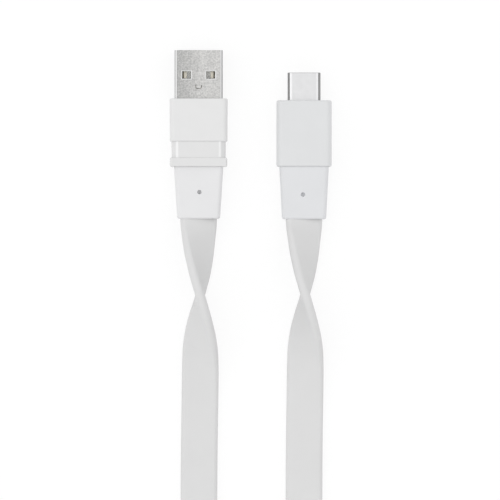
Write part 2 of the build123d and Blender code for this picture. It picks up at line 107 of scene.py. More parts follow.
def easeEdges(piece, width, segments=2, angle=35):
    takeUp(piece)
    ease = piece.modifiers.new("ease", "BEVEL")
    ease.width = width
    ease.segments = segments
    ease.limit_method = "ANGLE"
    ease.angle_limit = math.radians(angle)
    ease.harden_normals = False
    bpy.ops.object.modifier_apply(modifier=ease.name)


def smooth(piece, angle=35):
    # large flat faces keep their own normal, so that their shading stays even beside eased edges
    takeUp(piece)
    bpy.ops.object.shade_smooth_by_angle(angle=math.radians(angle))
    even = piece.modifiers.new("even", "WEIGHTED_NORMAL")
    even.weight, even.keep_sharp = 100, True
    bpy.ops.object.modifier_apply(modifier=even.name)


# ---- camera, first

cameraSetup = {
    "height": 1.2, "field": 0.125, "middle": (-0.00017, -0.0288), "focusZ": 0.004, "sensor": 36.0, "reach": 20,
}


def addCamera(setup):
    data = bpy.data.cameras.new("camera")
    data.sensor_width = setup["sensor"]
    data.lens = setup["sensor"] * setup["height"] / setup["field"]
    data.clip_start, data.clip_end = 0.01, setup["reach"]
    camera = bpy.data.objects.new("camera", data)
    camera.location = (*setup["middle"], setup["height"] + setup["focusZ"])
    bpy.context.scene.collection.objects.link(camera)
    bpy.context.scene.camera = camera


addCamera(cameraSetup)
print("camera placed")

# ---- materials

class Wire:
    # a socket that takes part in Python expressions
    def __init__(self, tree, socket):
        self.tree, self.socket = tree, socket

    def join(self, operation, *values, clamp=False):
        node = self.tree.nodes.new("ShaderNodeMath")
        node.operation, node.use_clamp = operation, clamp
        for slot, value in zip(node.inputs, values):
            plug(self.tree, value, slot)
        return Wire(self.tree, node.outputs[0])

    def __add__(self, other):
        return self.join("ADD", self, other)

    def __radd__(self, other):
        return self.join("ADD", other, self)

    def __sub__(self, other):
        return self.join("SUBTRACT", self, other)

    def __rsub__(self, other):
        return self.join("SUBTRACT", other, self)

    def __mul__(self, other):
        return self.join("MULTIPLY", self, other)

    def __rmul__(self, other):
        return self.join("MULTIPLY", other, self)

    def __truediv__(self, other):
        return self.join("DIVIDE", self, other)

    def size(self):
        return self.join("ABSOLUTE", self)

    def held(self):
        return self.join("ADD", self, 0.0, clamp=True)


def plug(tree, value, socket):
    if isinstance(value, Wire):
        tree.links.new(value.socket, socket)
    else:
        socket.default_value = value


class Finish:
    # one material: its shader and the nodes that feed it
    def __init__(self, name, **shaderValues):
        self.material = bpy.data.materials.new(name)
        self.material.use_nodes = True
        self.tree = self.material.node_tree
        self.shader = self.tree.nodes["Principled BSDF"]
        self.feed(**shaderValues)

    def feed(self, **values):
        for key, value in values.items():
            plug(self.tree, value, self.shader.inputs[key.replace("_", " ")])

    def node(self, kind, settings=None, output=0, **values):
        made = self.tree.nodes.new("ShaderNode" + kind)
        for key, value in (settings or {}).items():
            setattr(made, key, value)
        for key, value in values.items():
            slot = int(key[1:]) if key[0] == "i" and key[1:].isdigit() else key.replace("_", " ")
            plug(self.tree, value, made.inputs[slot])
        return Wire(self.tree, made.outputs[output])

    @classmethod
    def over(cls, tree):
        # the same helpers over a node tree that has no shader of its own, such as the sky's
        made = cls.__new__(cls)
        made.tree = tree
        return made

    def looked(self, glossShare=1):
        # 1 for what the camera sees directly or through glass, and a share of it in metal
        camera, gloss, glass = (
            self.node("LightPath", output="Is " + kind + " Ray") for kind in ("Camera", "Glossy", "Transmission"))
        return (camera + gloss * glossShare + glass).held()

    def place(self):
        return self.node("TexCoord", output="Object")

    def noise(self, scale, detail=3.0, rough=0.5, at=None):
        return self.node("TexNoise", Vector=at or self.place(), Scale=scale, Detail=detail, Roughness=rough)

    def blend(self, mask, first, second):
        return self.node("Mix", {"data_type": "RGBA"}, 2, i0=mask, i6=first, i7=second)

    def bump(self, height, distance, strength=1.0):
        return self.node("Bump", Height=height, Distance=distance, Strength=strength)


def grey(level, tint=(0, 0, 0)):
    # linear colour that shows as this 8-bit level
    values = [(level + shift) / 255 for shift in tint]
    return tuple(v / 12.92 if v <= 0.04045 else ((v + 0.055) / 1.055) ** 2.4 for v in values) + (1,)


plasticLook = {
    "coverWhite": {"level": 234, "tint": (0, 0, 0), "rough": 0.36, "grain": 0.006},
    # the collar's fold tone is a painted highlight
    "collarWhite": {"level": 231, "tint": (0, 0, 0), "rough": 0.2, "grain": 0.003,
                    "collarFoldHighlight": (5.35, 0.42, 249), "collarFoldHighlightFrom": 2.3},
    "coverCool": {"level": 229, "tint": (-1, 0, 1), "rough": 0.38, "grain": 0.006},
    "bootWhite": {"level": 235, "tint": (0, 0, 1), "rough": 0.5, "grain": 0.008},
    "bootCool": {"level": 230, "tint": (-1, 0, 2), "rough": 0.5, "grain": 0.008},
    "tongueWhite": {"level": 251, "tint": (0, 0, -3), "rough": 0.45, "grain": 0.004},
    "coreBlack": {"level": 52, "tint": (0, 0, 2), "rough": 0.4, "grain": 0.004},
    "innerMould": {"level": 236, "tint": (0, -2, -8), "rough": 0.4, "grain": 0.01},
}


def plastic(name, look):
    # moulded plastic: faint mottling, a spark-eroded grain and uneven gloss
    finish = Finish(name, Specular_IOR_Level=0.4)
    cloud = finish.noise(180, 2.0)
    base, dark = grey(look["level"], look["tint"]), grey(look["level"] - 5, look["tint"])
    colour = finish.blend(cloud, dark, base)
    if "collarFoldHighlight" in look:
        # painted highlight: a paler tone along the collar's two folds, ahead of the ring
        at, half, level = look["collarFoldHighlight"]
        low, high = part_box("usb_a_rear_collar")
        x, y = (finish.node("SeparateXYZ", output=way, Vector=finish.place()) for way in "XY")
        aside = ((x - (low + high).x / 2).size() - at * mm).size()
        line = (1 - aside / half / mm).held() * ((y - (low.y + look["collarFoldHighlightFrom"] * mm)) / 0.05 / mm).held()
        colour = finish.blend(line, colour, grey(level))
    finish.feed(Base_Color=colour)
    finish.feed(Roughness=look["rough"] - 0.05 + cloud * 0.1)
    grain = finish.noise(9000, 2.0, 0.6)
    finish.feed(Normal=finish.bump(grain, look["grain"] * mm))
    return finish.material


plastics = {name: plastic(name, look) for name, look in plasticLook.items()}


def jacketFinish():
    # matte elastomer of the cord: fine pores and a faint drawn streak
    finish = Finish("cordJacket", Specular_IOR_Level=0.25)
    cloud = finish.noise(140, 3.0)
    finish.feed(Base_Color=finish.blend(cloud, grey(220), grey(225)))
    finish.feed(Roughness=0.58 + cloud * 0.1)
    pores = finish.noise(5200, 3.0, 0.6)
    finish.feed(Normal=finish.bump(pores, 0.012 * mm))
    return finish.material


# tones of the A shell: the paler fold and rim tones are painted highlights, the dark outermost tone and the
# leftward darkening are painted shade, the near-white inside tone is painted light
tinLook = {
    "dull": 174, "bright": 226, "paintedFoldSheen": 210, "edge": 168, "rim": 228, "paintedInsideLight": 250,
    "foldAt": 5.3 * mm, "edgeAt": 5.84 * mm, "fade": 0.15 * mm, "insideH": 2.05 * mm, "insideW": 5.75 * mm,
    "shadeOver": 7.0 * mm, "windowX": 3.0 * mm, "rimX": 1.42 * mm, "rimY": 1.2 * mm, "windowBack": 6.2 * mm,
}


def tinnedSteel(look):
    # satin tin plate: sparkling grain, smoother along folds and round windows; painted highlights there, painted
    # shade towards the left and at each fold's outer edge, and painted light inside
    finish = Finish("tinnedSteel", Metallic=1.0)
    low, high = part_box("usb_a_shell")
    axis, fade = (low + high) / 2, look["fade"]
    x, y, z = (finish.node("SeparateXYZ", output=way, Vector=finish.place()) for way in "XYZ")
    aside, above = (x - axis.x).size(), (z - axis.z).size()
    inside = ((look["insideH"] - above) / 0.02 / mm).held() * ((look["insideW"] - aside) / 0.02 / mm).held()
    fold = ((aside - look["foldAt"]) / fade).held()
    # painted highlight: a paler tone in a frame round each window
    rimX = ((look["rimX"] - (aside - look["windowX"]).size()) / fade).held()
    rimY = ((look["rimY"] - (y - (high.y - look["windowBack"])).size()) / fade).held()
    rims = rimX * rimY
    foldsAndRims = (fold + rims).held()
    blotch = finish.noise(700, 4.0, 0.7)
    grain = finish.noise(2300, 3.0, 0.7)
    # painted shade: the plate grows darker towards its left side
    paintedLeftShade = ((axis.x - x + 0.5 * mm) / look["shadeOver"]).held()
    mask = (grain * 2.2 + blotch * 0.8 - 0.95 - paintedLeftShade * 0.55).held()
    tin = finish.blend(mask, grey(look["dull"], (0, 0, -1)), grey(look["bright"], (0, -1, -3)))
    # painted highlight along each fold, with painted shade in a dark line at its outermost edge
    outermost = ((aside - look["edgeAt"]) / fade * 3).held()
    paintedFoldSheen = finish.blend(outermost, grey(look["paintedFoldSheen"]), grey(look["edge"]))
    skin = finish.blend(rims, finish.blend(fold, tin, paintedFoldSheen), grey(look["rim"]))
    # painted light: the inside of the shell takes a near-white tone that lifts its shade
    finish.feed(Base_Color=finish.blend(inside, skin, grey(look["paintedInsideLight"])))
    finish.feed(Roughness=0.34 + grain * 0.14 - foldsAndRims * 0.05)
    finish.feed(Normal=finish.bump(grain * (1 - foldsAndRims * 0.8), 0.02 * mm))
    return finish.material


# the wall tone and the lip share are painted shade, in place of dark reflections on the curved side walls and the
# cut lip
nickelLook = {"flat": (226, 235), "wall": 158, "wallAt": 3.49 * mm, "lipDeep": 0.16 * mm, "lipShadeShare": 0.55}


def brightNickel(look):
    # bright plate on the flats; painted shade on the side walls and the cut lip, a darker tone in place of their
    # dark reflections
    finish = Finish("brightNickel", Metallic=1.0)
    low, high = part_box("usb_c_shell")
    x, y = (finish.node("SeparateXYZ", output=way, Vector=finish.place()) for way in "XY")
    aside = (x - (low + high).x / 2).size()
    # painted shade: the side walls and the cut lip take the darker wall tone
    lip = ((y - (high.y - look["lipDeep"])) / 0.04 / mm).held()
    side = ((aside - look["wallAt"]) / 0.06 / mm).held()
    wall = (side + lip * look["lipShadeShare"]).held()
    haze = finish.noise(700, 3.0)
    dull, bright = (grey(level, (0, 0, 1)) for level in look["flat"])
    finish.feed(Base_Color=finish.blend(wall, finish.blend(haze, dull, bright), grey(look["wall"])))
    finish.feed(Roughness=0.29 + haze * 0.08 + wall * 0.04)
    fine = finish.noise(3600, 2.0)
    finish.feed(Normal=finish.bump(fine, 0.003 * mm))
    return finish.material


def plainMetal(name, level, tint, rough):
    finish = Finish(name, Metallic=1.0)
    haze = finish.noise(900, 3.0)
    finish.feed(Base_Color=finish.blend(haze, grey(level - 14, tint), grey(level, tint)))
    finish.feed(Roughness=rough - 0.05 + haze * 0.1)
    return finish.material


def strapFinish():
    # hook-and-loop strap: napped loops
    finish = Finish("strapNap", Specular_IOR_Level=0.2)
    nap = finish.noise(2200, 4.0, 0.7)
    finish.feed(Base_Color=finish.blend(nap, grey(48), grey(92)))
    finish.feed(Roughness=0.8 + nap * 0.15)
    finish.feed(Normal=finish.bump(nap, 0.25 * mm, 0.8))
    return finish.material


# the darker edge tone is painted shade along the outer pair's outer edges
contactLook = {"plate": grey(214, (0, -5, -18)), "edge": grey(108, (0, -6, -20)), "edgeAt": 3.6 * mm}


def contactGold(look):
    # gold plate; the outer pair carries painted shade, a darker tone along its outer edges
    finish = Finish("contactGold", Metallic=1.0)
    low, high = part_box("usb_a_shell")
    aside = (finish.node("SeparateXYZ", output="X", Vector=finish.place()) - (low + high).x / 2).size()
    # painted shade along the outer edges of the outer pair
    edge = ((aside - look["edgeAt"]) / 0.16 / mm).held()
    finish.feed(Base_Color=finish.blend(edge, look["plate"], look["edge"]))
    finish.feed(Roughness=0.3 + edge * 0.1)
    return finish.material


metals = {
    "tinned": tinnedSteel(tinLook),
    "nickel": brightNickel(nickelLook),
    "gold": plainMetal("goldPlate", 216, (0, -6, -24), 0.3),
    "contactGold": contactGold(contactLook),
    "solder": plainMetal("solder", 196, (0, 0, 0), 0.3),
}
jacket = jacketFinish()
strapNap = strapFinish()


def wireFinish(name, colour):
    finish = Finish(name)
    haze = finish.noise(800, 2.0)
    darker = tuple(0.8 * v for v in colour[:3]) + (1,)
    finish.feed(Base_Color=finish.blend(haze, darker, colour), Roughness=0.35 + haze * 0.1)
    return finish.material


wireLook = {
    "vbus": wireFinish("wireRed", (0.45, 0.02, 0.02, 1)),
    "dminus": wireFinish("wireWhite", (0.75, 0.75, 0.75, 1)),
    "dplus": wireFinish("wireGreen", (0.02, 0.25, 0.05, 1)),
    "gnd": wireFinish("wireBlack", (0.02, 0.02, 0.02, 1)),
}
boardGreen = wireFinish("boardMask", (0.01, 0.12, 0.05, 1))
print("finishes mixed")

nodeFinish = {
    "usb_a_shell": metals["tinned"], "usb_a_crimp_collar": metals["tinned"],
    "usb_a_insulator": plastics["tongueWhite"], "usb_a_rear_block": plastics["tongueWhite"],
    "usb_a_solder_joints": metals["solder"], "usb_c_solder_joints": metals["solder"],
    "usb_a_inner_mould": plastics["innerMould"], "usb_c_inner_mould": plastics["innerMould"],
    "usb_a_cover": plastics["coverWhite"], "usb_a_rear_collar": plastics["coverWhite"],
    "usb_a_strain_relief": plastics["bootWhite"],
    "usb_c_shell": metals["nickel"], "usb_c_latch": metals["nickel"],
    "usb_c_grounding_springs": metals["nickel"],
    "usb_c_insulator": plastics["coreBlack"], "usb_c_resistor": plastics["coreBlack"],
    "usb_c_contacts_upper": metals["gold"], "usb_c_contacts_lower": metals["gold"],
    "usb_c_board": boardGreen, "usb_c_shield_can": metals["tinned"],
    "usb_c_crimp_collar": metals["tinned"],
    "usb_c_cover": plastics["coverCool"], "usb_c_strain_relief": plastics["bootCool"],
    "cord_a_run": jacket, "cord_c_run": jacket, "cord_hank": jacket, "cable_tie": strapNap,
}
for plugName in ("usb_a", "usb_c"):
    for lane, look in wireLook.items():
        nodeFinish[plugName + "_wire_" + lane] = look
        nodeFinish["usb_a_contact_" + lane] = metals["contactGold"]
for name, piece in nodes.items():
    piece.data.materials.clear()
    piece.data.materials.append(nodeFinish[name])

# ---- the cord: one ribbon from the A plug through the hank to the C plug

cord = {
    "width": 0.0092, "thick": 0.00245, "edgeR": 0.00105, "realLength": 1.2,
    "strand": 0.0034, "outerX": 0.027425, "hankZ": 0.0056,
    "upperY": -0.172, "lowerY": -0.260, "nearTurn": 0.011, "onTurn": 4,
    "loopTurn": 60.0, "loopR": 0.025, "step": 0.0007,
    "hankFrom": 0.119, "hankTwist": 270.0, "soften": 4,
}
aX, aEndY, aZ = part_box("usb_a_cover")[0].x + 0.00725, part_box("usb_a_strain_relief")[0].y, 0.0038
cX, cEndY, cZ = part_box("usb_c_cover")[0].x + 0.0069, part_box("usb_c_strain_relief")[0].y, 0.0033
flatZ, edgeZ = cord["thick"] / 2, cord["hankZ"]

aRun = [
    (aX, aEndY + 0.003, aZ),
    (aX - 0.00003, -0.0265, 0.0041),
    (aX + 0.00035, -0.036, 0.0049),
    (aX + 0.0004, -0.047, 0.0049),
    (aX + 0.0004, -0.061, flatZ),
    (aX + 0.0001, -0.078, flatZ),
    (aX, -0.096, flatZ),
    (aX, -0.110, edgeZ),
    (aX, -0.128, edgeZ),
    (-0.0274, -0.154, edgeZ),
]
cRun = [
    (cX, cEndY + 0.003, cZ),
    (cX - 0.00003, -0.0265, 0.0039),
    (cX + 0.00022, -0.036, 0.0049),
    (cX + 0.00034, -0.047, 0.0049),
    (cX + 0.00033, -0.061, flatZ),
    (cX + 0.00004, -0.078, flatZ),
    (cX, -0.096, flatZ),
    (cX, -0.108, edgeZ),
    (cX, -0.121, edgeZ),
    (0.0032, -0.137, edgeZ),
    (-0.0138, -0.144, edgeZ),
    (-0.0240, -0.160, edgeZ),
]


def turnPoints(x, y, radius, first, last, count):
    # control points of one turn of the coil: where the tangents of its round end cross
    step = math.radians(last - first) / count
    reach = radius / math.cos(step / 2)
    angles = [math.radians(first) + step * (k + 0.5) for k in range(count)]
    return [(x + reach * math.cos(a), y + reach * math.sin(a), cord["hankZ"]) for a in angles]


def sidePoints(x, fromY, toY):
    # one control point near each end of a straight side, as far from the turn as the turn's own next point
    near = math.copysign(cord["nearTurn"], toY - fromY)
    return [(x, fromY + near, cord["hankZ"]), (x, toY - near, cord["hankZ"])]


def hankPoints(c):
    # both strands wind inwards side by side and meet in a loop at the middle
    points = []
    p, r, top, low = c["strand"], c["outerX"], c["upperY"], c["lowerY"]
    for half in range(3):
        side = -1 if half % 2 == 0 else 1
        fromY, toY = (top, low) if side < 0 else (low, top)
        points += sidePoints(side * (r - half * p), fromY, toY)
        if half < 2:
            start = 180 if side < 0 else 0
            points += turnPoints(side * p / 2, toY, r - (half + 0.5) * p, start, start + 180, c["onTurn"])
    bulbR = r - 2.5 * p
    points += turnPoints(-p / 2, low, bulbR, 180, 360 + c["loopTurn"], 6)
    lean = math.radians(c["loopTurn"])
    inX = -(r - 3 * p)
    outX = -p / 2 + bulbR * math.cos(lean)
    straight = (outX - inX - c["loopR"] * (1 - math.cos(lean))) / math.sin(lean)
    backY = low + bulbR * math.sin(lean) + straight * math.cos(lean) + c["loopR"] * math.sin(lean)
    points += turnPoints(inX + c["loopR"], backY, c["loopR"], 180 + c["loopTurn"], 180, 2)
    points += sidePoints(inX, backY, top)
    for half in (2, 1):
        side = 1 if half == 2 else -1
        fromY, toY = (top, low) if side > 0 else (low, top)
        start = 180 if side > 0 else 360
        turnY = top if side > 0 else low
        points += turnPoints(side * p / 2, turnY, r - (half + 0.5) * p, start, start - 180, c["onTurn"])
        points += sidePoints(side * (r - half * p), fromY, toY)
    return points


def routeLine(points):
    # the smooth line through the route, read back as evenly spaced places
    curve = bpy.data.curves.new("route", "CURVE")
    curve.dimensions = "3D"
    curve.resolution_u = 24
    spline = curve.splines.new("NURBS")
    spline.points.add(len(points) - 1)
    for point, place in zip(spline.points, points):
        point.co = (*place, 1)
    spline.order_u = 3
    spline.use_endpoint_u = True
    holder = bpy.data.objects.new("route", curve)
    bpy.context.scene.collection.objects.link(holder)
    mesh = bpy.data.meshes.new_from_object(holder)
    line = [v.co.copy() for v in mesh.vertices]
    bpy.data.objects.remove(holder, do_unlink=True)
    bpy.data.meshes.remove(mesh)
    return line


def evenly(line, step):
    gone = [0.0]
    for a, b in zip(line, line[1:]):
        gone.append(gone[-1] + (b - a).length)
    count = round(gone[-1] / step)
    places, index = [], 0
    for k in range(count + 1):
        want = gone[-1] * k / count
        while index < len(line) - 2 and gone[index + 1] < want:
            index += 1
        part = (want - gone[index]) / max(gone[index + 1] - gone[index], 1e-9)
        places.append(line[index].lerp(line[index + 1], min(max(part, 0), 1)))
    return places, gone[-1]


# turn of the ribbon at places down from the plugs, in metres along -Y and degrees
twistKeys = [
    (0.0204, 0), (0.0222, 14), (0.0249, 29), (0.0279, 39), (0.0309, 50), (0.0339, 61.8),
    (0.0369, 74.5), (0.0398, 89), (0.0429, 104.4), (0.0459, 120.5), (0.0489, 135.9), (0.0519, 151.4),
    (0.0549, 164.0), (0.0579, 171.5), (0.0610, 176.5), (0.0660, 180), (0.0975, 180), (0.1180, 270),
]


def twistAt(down):
    if down <= twistKeys[0][0]:
        return 0.0
    for (a, fromTurn), (b, toTurn) in zip(twistKeys, twistKeys[1:]):
        if down <= b:
            return fromTurn + (toTurn - fromTurn) * (down - a) / (b - a)
    return twistKeys[-1][1]


def softened(values, reach):
    # running mean, so the twist has no corners
    total, sums = 0.0, [0.0]
    for value in values:
        total += value
        sums.append(total)
    last = len(values)
    out = []
    for k in range(last):
        r = min(reach, k, last - 1 - k)
        out.append((sums[k + r + 1] - sums[k - r]) / (2 * r + 1))
    return out


def ribbonSection(c, perCorner=4):
    # rounded rectangle: across the ribbon, through its thickness
    w, t, r = c["width"] / 2, c["thick"] / 2, c["edgeR"]
    outline = []
    for corner, (sx, sy) in enumerate(((1, 1), (-1, 1), (-1, -1), (1, -1))):
        for k in range(perCorner + 1):
            a = math.radians(90 * corner + 90 * k / perCorner)
            outline.append((sx * (w - r) + r * math.cos(a), sy * (t - r) + r * math.sin(a)))
    return outline


def ribbonPiece(name, places, turns, c):
    section = ribbonSection(c)
    around = len(section)
    verts, faces = [], []
    last = len(places) - 1
    for k, place in enumerate(places):
        ahead = (places[min(k + 1, last)] - places[max(k - 1, 0)]).normalized()
        level = Vector((-ahead.y, ahead.x, 0)).normalized()
        over = level.cross(ahead)
        a = math.radians(turns[k])
        across = level * math.cos(a) + over * math.sin(a)
        through = over * math.cos(a) - level * math.sin(a)
        verts += [place + across * x + through * y for x, y in section]
    for k in range(last):
        for s in range(around):
            n = (s + 1) % around
            faces.append((k * around + s, k * around + n, (k + 1) * around + n, (k + 1) * around + s))
    faces.append(tuple(reversed(range(around))))
    faces.append(tuple(range(last * around, (last + 1) * around)))
    mesh = bpy.data.meshes.new(name)
    mesh.from_pydata(verts, [], faces)
    mesh.update()
    piece = bpy.data.objects.new(name, mesh)
    bpy.context.scene.collection.objects.link(piece)
    takeUp(piece)
    bpy.ops.object.mode_set(mode="EDIT")
    bpy.ops.mesh.select_all(action="SELECT")
    bpy.ops.mesh.normals_make_consistent(inside=False)
    bpy.ops.object.mode_set(mode="OBJECT")
    smooth(piece, 40)
    return piece


route = aRun + hankPoints(cord) + list(reversed(cRun))
line = routeLine(route)
places, lineLength = evenly(line, cord["step"])
middle = len(places) // 2
# the run back to the C plug untwists from twice the hank's turn
bothWays = 2 * cord["hankTwist"]
turns = [twistAt(-place.y) if k < middle else bothWays - twistAt(-place.y) for k, place in enumerate(places)]
inHank = [k for k, place in enumerate(places) if place.y < -cord["hankFrom"]]
for k in range(inHank[0], inHank[-1] + 1):
    turns[k] = cord["hankTwist"]
turns = softened(turns, cord["soften"])
ribbon = ribbonPiece("cord_ribbon", places, turns, cord)
ribbon.data.materials.append(jacket)
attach(ribbon, "root")
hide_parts("cord_a_run", "cord_c_run", "cord_hank")
print("cord laid, length", round(lineLength, 4))


# ---- moulded and metal pieces

def resizeFace(piece, test, factors):
    # tapers a block by resizing one end face about its own middle
    pick(piece, "FACE", test)
    bpy.ops.object.mode_set(mode="OBJECT")
    chosen = [f for f in piece.data.polygons if f.select]
    middle = sum((f.center * f.area for f in chosen), Vector()) / sum(f.area for f in chosen)
    bpy.ops.object.mode_set(mode="EDIT")
    bpy.ops.transform.resize(value=factors, center_override=middle)
    bpy.ops.object.mode_set(mode="OBJECT")


def backFace(middle, way):
    return way.y < -0.99


def easeEnds(piece, offset, segments, ends=(True, True)):
    # rounds the outlines of the block's two ends
    ys = [v.co.y for v in piece.data.vertices]
    stops = [y for y, wanted in zip((max(ys), min(ys)), ends) if wanted]
    bevelEdges(piece, lambda m, w: abs(w.y) < 0.1 and any(abs(m.y - y) < 1e-5 for y in stops),
               offset, segments)


def openEnds(piece, wall):
    # takes both ends off a closed block and gives the skin its wall, inwards
    pick(piece, "FACE", lambda m, w: abs(w.y) > 0.99)
    bpy.ops.mesh.delete(type="FACE")
    bpy.ops.object.mode_set(mode="OBJECT")
    skin = piece.modifiers.new("wall", "SOLIDIFY")
    skin.thickness, skin.offset = wall, -1
    bpy.ops.object.modifier_apply(modifier=skin.name)


def finishPiece(piece, material, slotName, *replaced, angle=35):
    smooth(piece, angle)
    piece.data.materials.clear()
    piece.data.materials.append(material)
    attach(piece, "root")
    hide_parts(*replaced)


def middleOf(node):
    low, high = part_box(node)
    return (low + high) / 2, high - low


aShellSpec = {
    "wall": 0.3 * mm, "cornerR": 0.62 * mm, "windowX": 3.0 * mm, "windowBack": 6.2 * mm,
    "window": (2.3 * mm, 1.85 * mm), "windowR": 0.15 * mm, "coin": 0.28 * mm, "coinDeep": 0.07 * mm,
    "tabBack": 9.2 * mm, "tab": (1.6 * mm, 0.98 * mm), "tabR": 0.5 * mm, "slit": 0.15 * mm,
    "groove": 0.5 * mm, "grooveX": 5.12 * mm, "grooveFoot": 5.22 * mm, "grooveDeep": 0.09 * mm,
    "seam": 0.07 * mm, "lip": 0.04 * mm,
}


def modelAShell(c):
    centre, size = middleOf("usb_a_shell")
    tipY, topZ = centre.y + size.y / 2, centre.z + size.z / 2
    shell = addBlock("usb_a_shell_folded", size, centre)
    bevelEdges(shell, alongY, c["cornerR"], 7)
    openEnds(shell, c["wall"])
    w, l = c["window"]
    for side in (-1, 1):
        x, y = centre.x + side * c["windowX"], tipY - c["windowBack"]
        hole = addBlock("hole", (w, l, 2 * size.z), (x, y, centre.z))
        bevelEdges(hole, lambda m, d: abs(d.z) > 0.99, c["windowR"], 3)
        cutWith(shell, hole)
        for face in (1, -1):
            # coined rim round each window
            z = centre.z + face * size.z / 2
            wide = (w + 2 * c["coin"], l + 2 * c["coin"], 2 * c["coinDeep"])
            rim = addBlock("rim", wide, (x, y, z))
            narrow = (w / wide[0], l / wide[1], 1)
            resizeFace(rim, lambda m, d: face * d.z < -0.99, narrow)
            cutWith(shell, rim)
    for side in (-1, 1):
        # shallow coined groove inside each fold
        groove = addBlock("groove", (c["groove"], 2 * size.y, 2 * c["grooveDeep"]),
                          (centre.x + side * c["grooveX"], centre.y, topZ))
        pick(groove, "FACE", lambda m, d: d.z < -0.99)
        foot = (centre.x + side * c["grooveFoot"], 0, 0)
        bpy.ops.transform.resize(value=(0.12, 1, 1), center_override=foot)
        bpy.ops.object.mode_set(mode="OBJECT")
        cutWith(shell, groove)
    tw, tl = c["tab"]
    y = tipY - c["tabBack"]
    # lanced tab: a U-shaped slit right through the wall
    slit = addBlock("slit", (tw, tl, 4 * c["wall"]), (centre.x, y, topZ))
    bevelEdges(slit, lambda m, d: abs(d.z) > 0.9 and m.y < y, c["tabR"], 6)
    tongueSize = (tw - 2 * c["slit"], tl, 6 * c["wall"])
    tongue = addBlock("tongue", tongueSize, (centre.x, y + c["slit"], topZ))
    bevelEdges(tongue, lambda m, d: abs(d.z) > 0.9 and m.y < y, c["tabR"] - c["slit"], 6)
    cutWith(slit, tongue)
    cutWith(shell, slit)
    seamSize = (c["seam"], 2 * size.y, 0.8 * c["wall"])
    low = addBlock("seam", seamSize, (centre.x, centre.y, centre.z - size.z / 2))
    cutWith(shell, low)
    easeEdges(shell, c["lip"], 2, 40)
    finishPiece(shell, metals["tinned"], "tinned_steel", "usb_a_shell", angle=28)


coverSpec = {
    "usb_a_cover": {"sideR": 1.4, "endR": 0.3, "draft": 0.991, "mouth": (12.06, 4.56, 0.64), "setBack": 0.0,
                    "finish": "coverWhite", "slot": "cover_white"},
    "usb_c_cover": {"sideR": 1.65, "endR": 0.5, "draft": 1.0, "mouth": (8.31, 2.46, 1.22), "setBack": 0.25,
                    "finish": "coverCool", "slot": "cover_cool_white"},
}


def modelCover(node, c):
    centre, size = middleOf(node)
    size.y -= c["setBack"] * mm
    centre.y -= c["setBack"] * mm / 2
    cover = addBlock(node + "_moulded", size, centre)
    if c["draft"] < 1:
        resizeFace(cover, backFace, (c["draft"], 1, c["draft"]))
    bevelEdges(cover, lambda m, w: abs(w.y) > 0.9, c["sideR"] * mm, 8)
    easeEnds(cover, c["endR"] * mm, 4)
    w, h, r = c["mouth"]
    z = sum(corner.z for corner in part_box(node[:5] + "_shell")) / 2
    deep = 5 * mm
    mouth = addBlock("mouth", (w * mm, 2 * deep, h * mm), (centre.x, centre.y + size.y / 2, z))
    bevelEdges(mouth, alongY, r * mm, 6)
    cutWith(cover, mouth)
    finishPiece(cover, plastics[c["finish"]], c["slot"], node)


collarSpec = {
    "neckW": 13.6, "neckEndW": 13.45, "neckH": 6.8, "neckL": 4.05, "flat": 10.75, "drop": 1.0, "fold": 0.38,
    "under": 0.5, "ringChamfer": 0.55, "ringEase": 0.28, "lap": 0.6,
}


def modelCollar(c):
    low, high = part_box("usb_a_rear_collar")
    centre = (low + high) / 2
    neckL, lap, drop = c["neckL"] * mm, c["lap"] * mm, c["drop"] * mm
    place = (centre.x, high.y - neckL / 2, centre.z)
    size = (c["neckW"] * mm, neckL + 2 * lap, c["neckH"] * mm - 2 * drop)
    neck = addBlock("usb_a_collar_moulded", size, place)
    resizeFace(neck, backFace, (c["neckEndW"] / c["neckW"], 1, 1))
    for way in (1, -1):
        # raises the flat, leaving a sloping facet on both of its sides
        pick(neck, "FACE", lambda m, w: way * w.z > 0.99)
        bpy.ops.mesh.extrude_region_move(TRANSFORM_OT_translate={"value": (0, 0, way * drop)})
        bpy.ops.transform.resize(value=(c["flat"] / c["neckW"], 1, 1), center_override=place)
        bpy.ops.object.mode_set(mode="OBJECT")
    bevelEdges(neck, lambda m, w: abs(w.y) > 0.97 and abs(abs(m.z - centre.z) - c["neckH"] * mm / 2) < 1e-5,
               c["fold"] * mm, 4)
    bevelEdges(neck, lambda m, w: abs(w.y) > 0.97 and abs(m.x - centre.x) > 0.98 * c["neckEndW"] * mm / 2,
               c["under"] * mm, 4)
    ringL = high.y - neckL - low.y
    ringPlace = (centre.x, low.y + ringL / 2, centre.z)
    ring = addBlock("ring", (high.x - low.x, ringL, high.z - low.z), ringPlace)
    bevelEdges(ring, alongY, c["ringChamfer"] * mm, 3)
    easeEnds(ring, c["ringEase"] * mm, 3)
    cutWith(neck, ring, "UNION")
    finishPiece(neck, plastics["collarWhite"], "cover_white", "usb_a_rear_collar", angle=24)


bootSpec = {
    "usb_a_strain_relief": {"width": 12.3, "height": 6.0, "endWidth": 10.68, "endHeight": 4.6,
                            "pin": (0.2, 6.35), "pinDeep": 1.3, "finish": "bootWhite", "slot": "boot_white"},
    "usb_c_strain_relief": {"width": 12.35, "height": 5.6, "endWidth": 11.02, "endHeight": 4.4,
                            "pin": (-0.3, 6.95), "pinDeep": 0.95, "finish": "bootCool", "slot": "boot_cool_white"},
}
bootShape = {
    "sideR": 1.15, "endR": 0.5, "mouthW": 9.26, "mouthH": 2.52, "mouthR": 1.05, "mouthDeep": 3.4,
    "pinD": 1.05, "ease": 0.07,
}


